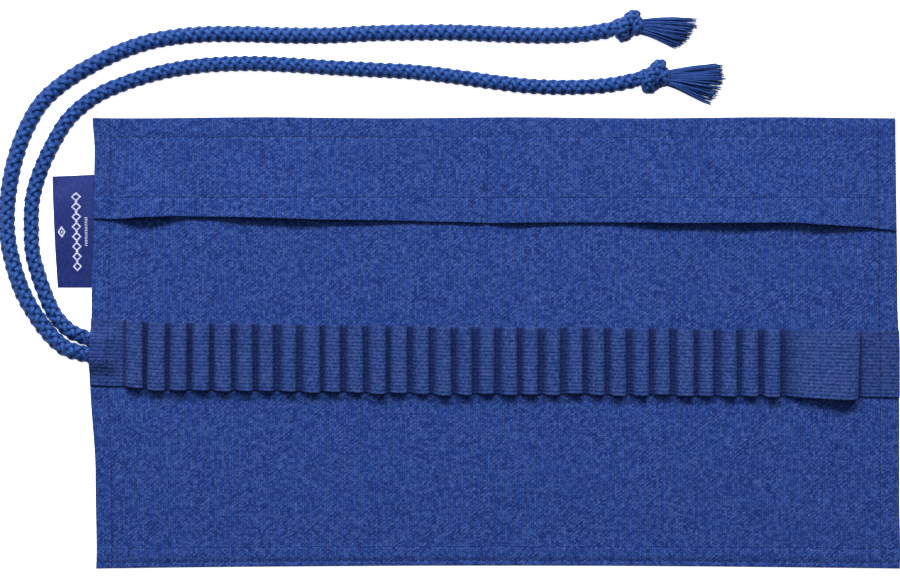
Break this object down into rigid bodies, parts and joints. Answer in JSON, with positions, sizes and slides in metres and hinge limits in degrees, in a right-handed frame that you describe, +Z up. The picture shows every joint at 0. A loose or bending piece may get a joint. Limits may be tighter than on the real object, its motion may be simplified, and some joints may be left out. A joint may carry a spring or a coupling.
{
  "type": "brush roll case",
  "caption": "Canvas roll-up case for brushes and pencils, lying open: a shallow pocket along the top, a row of elastic loops, a wide loop, a woven label and a tasselled tie cord.",
  "frame": {"origin": "middle of the canvas panel's underside, on the surface that the open case lies on", "axes": "+X along the row of loops from the label end to the wide loop, +Y up the panel towards the pocket, +Z up from the surface to the inner side"},
  "size_m": [0.4182, 0.259, 0.0132],
  "materials": {
    "canvas": "plain woven cotton canvas, matt",
    "pocket": "plain woven cotton canvas, matt",
    "elastic": "ribbed woven elastic, matt with a faint sheen on the ribs",
    "label": "satin-woven polyester label with a pale woven pattern",
    "cord": "braided cotton cord, soft and matt",
    "tassel": "loose cotton fibres, matt"
  },
  "bodies": {
    "strip_01": {"back_panel_01": "canvas", "pocket_flap_01": "pocket", "brush_loops_01": "elastic", "tape_left_end": "elastic", "woven_label": "label", "cord_bend": "cord", "tie_cord_upper": "cord", "tie_cord_lower": "cord", "knot_upper": "cord", "knot_lower": "cord", "tassel_upper": "tassel", "tassel_lower": "tassel"},
    "strip_02": {"back_panel_02": "canvas", "pocket_flap_02": "pocket", "brush_loops_02": "elastic"},
    "strip_03": {"back_panel_03": "canvas", "pocket_flap_03": "pocket", "brush_loops_03": "elastic"},
    "strip_04": {"back_panel_04": "canvas", "pocket_flap_04": "pocket", "brush_loops_04": "elastic"},
    "strip_05": {"back_panel_05": "canvas", "pocket_flap_05": "pocket", "brush_loops_05": "elastic"},
    "strip_06": {"back_panel_06": "canvas", "pocket_flap_06": "pocket", "brush_loops_06": "elastic"},
    "strip_07": {"back_panel_07": "canvas", "pocket_flap_07": "pocket", "brush_loops_07": "elastic"},
    "strip_08": {"back_panel_08": "canvas", "pocket_flap_08": "pocket", "brush_loops_08": "elastic"},
    "strip_09": {"back_panel_09": "canvas", "pocket_flap_09": "pocket", "brush_loops_09": "elastic"},
    "strip_10": {"back_panel_10": "canvas", "pocket_flap_10": "pocket", "brush_loops_10": "elastic"},
    "strip_11": {"back_panel_11": "canvas", "pocket_flap_11": "pocket", "brush_loops_11": "elastic"},
    "strip_12": {"back_panel_12": "canvas", "pocket_flap_12": "pocket", "brush_loops_12": "elastic"},
    "strip_13": {"back_panel_13": "canvas", "pocket_flap_13": "pocket", "brush_loops_13": "elastic"},
    "strip_14": {"back_panel_14": "canvas", "pocket_flap_14": "pocket", "brush_loops_14": "elastic"},
    "strip_15": {"back_panel_15": "canvas", "pocket_flap_15": "pocket", "brush_loops_15": "elastic"},
    "strip_16": {"back_panel_16": "canvas", "pocket_flap_16": "pocket", "wide_loop": "elastic"},
    "strip_17": {"back_panel_17": "canvas", "pocket_flap_17": "pocket", "tape_right_end": "elastic"}
  },
  "joints": [
    {"name": "roll_01", "type": "hinge", "parent": "strip_01", "child": "strip_02", "pos_m": [-0.1525, 0, 0.0024], "axis": [0, -1, 0], "range_deg": [0, 41.8]},
    {"name": "roll_02", "type": "hinge", "parent": "strip_02", "child": "strip_03", "pos_m": [-0.132, 0, 0.0024], "axis": [0, -1, 0], "range_deg": [0, 31.8]},
    {"name": "roll_03", "type": "hinge", "parent": "strip_03", "child": "strip_04", "pos_m": [-0.1115, 0, 0.0024], "axis": [0, -1, 0], "range_deg": [0, 32.6]},
    {"name": "roll_04", "type": "hinge", "parent": "strip_04", "child": "strip_05", "pos_m": [-0.091, 0, 0.0024], "axis": [0, -1, 0], "range_deg": [0, 33.4]},
    {"name": "roll_05", "type": "hinge", "parent": "strip_05", "child": "strip_06", "pos_m": [-0.0705, 0, 0.0024], "axis": [0, -1, 0], "range_deg": [0, 34.2]},
    {"name": "roll_06", "type": "hinge", "parent": "strip_06", "child": "strip_07", "pos_m": [-0.05, 0, 0.0024], "axis": [0, -1, 0], "range_deg": [0, 35.2]},
    {"name": "roll_07", "type": "hinge", "parent": "strip_07", "child": "strip_08", "pos_m": [-0.0295, 0, 0.0024], "axis": [0, -1, 0], "range_deg": [0, 36.2]},
    {"name": "roll_08", "type": "hinge", "parent": "strip_08", "child": "strip_09", "pos_m": [-0.009, 0, 0.0024], "axis": [0, -1, 0], "range_deg": [0, 37.3]},
    {"name": "roll_09", "type": "hinge", "parent": "strip_09", "child": "strip_10", "pos_m": [0.0115, 0, 0.0024], "axis": [0, -1, 0], "range_deg": [0, 38.5]},
    {"name": "roll_10", "type": "hinge", "parent": "strip_10", "child": "strip_11", "pos_m": [0.032, 0, 0.0024], "axis": [0, -1, 0], "range_deg": [0, 39.8]},
    {"name": "roll_11", "type": "hinge", "parent": "strip_11", "child": "strip_12", "pos_m": [0.0525, 0, 0.0024], "axis": [0, -1, 0], "range_deg": [0, 41.2]},
    {"name": "roll_12", "type": "hinge", "parent": "strip_12", "child": "strip_13", "pos_m": [0.073, 0, 0.0024], "axis": [0, -1, 0], "range_deg": [0, 42.9]},
    {"name": "roll_13", "type": "hinge", "parent": "strip_13", "child": "strip_14", "pos_m": [0.0935, 0, 0.0024], "axis": [0, -1, 0], "range_deg": [0, 44.7]},
    {"name": "roll_14", "type": "hinge", "parent": "strip_14", "child": "strip_15", "pos_m": [0.114, 0, 0.0024], "axis": [0, -1, 0], "range_deg": [0, 46.8]},
    {"name": "roll_15", "type": "hinge", "parent": "strip_15", "child": "strip_16", "pos_m": [0.1345, 0, 0.0024], "axis": [0, -1, 0], "range_deg": [0, 70]},
    {"name": "roll_16", "type": "hinge", "parent": "strip_16", "child": "strip_17", "pos_m": [0.17, 0, 0.0024], "axis": [0, -1, 0], "range_deg": [0, 75]}
  ],
  "couplings": [
    {"joint": "roll_02", "follows": "roll_01", "ratio": 0.7608},
    {"joint": "roll_03", "follows": "roll_01", "ratio": 0.7799},
    {"joint": "roll_04", "follows": "roll_01", "ratio": 0.799},
    {"joint": "roll_05", "follows": "roll_01", "ratio": 0.8182},
    {"joint": "roll_06", "follows": "roll_01", "ratio": 0.8421},
    {"joint": "roll_07", "follows": "roll_01", "ratio": 0.866},
    {"joint": "roll_08", "follows": "roll_01", "ratio": 0.8923},
    {"joint": "roll_09", "follows": "roll_01", "ratio": 0.9211},
    {"joint": "roll_10", "follows": "roll_01", "ratio": 0.9522},
    {"joint": "roll_11", "follows": "roll_01", "ratio": 0.9856},
    {"joint": "roll_12", "follows": "roll_01", "ratio": 1.0263},
    {"joint": "roll_13", "follows": "roll_01", "ratio": 1.0694},
    {"joint": "roll_14", "follows": "roll_01", "ratio": 1.1196},
    {"joint": "roll_15", "follows": "roll_01", "ratio": 1.6746},
    {"joint": "roll_16", "follows": "roll_01", "ratio": 1.7943}
  ]
}
